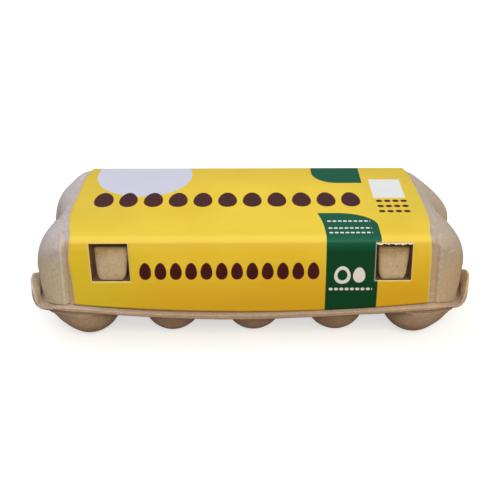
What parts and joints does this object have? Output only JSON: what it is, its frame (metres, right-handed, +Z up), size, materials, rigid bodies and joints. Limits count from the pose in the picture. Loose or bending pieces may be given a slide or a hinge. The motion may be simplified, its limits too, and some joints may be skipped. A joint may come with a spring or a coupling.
{
  "type": "egg carton",
  "caption": "Shut moulded pulp egg carton with round cups below, lobed lid ends, corner ears, a wraparound paper label and a latch button in each of its windows",
  "frame": {"origin": "centre of the carton's outline in plan, at the bottom of the cups", "axes": "+X along the length, to the right seen from the front; +Y from the front to the back; +Z up; the latches are on the -Y side"},
  "size_m": [0.2588, 0.111, 0.0676],
  "materials": {
    "tray": "matte moulded pulp",
    "lid": "matte moulded pulp",
    "latch_button_left": "matte moulded pulp",
    "latch_button_right": "matte moulded pulp",
    "label": "satin printed paper"
  },
  "bodies": {
    "root": {"tray": "tray", "lid": "lid", "latch_button_left": "latch_button_left", "latch_button_right": "latch_button_right", "label": "label"}
  },
  "joints": []
}
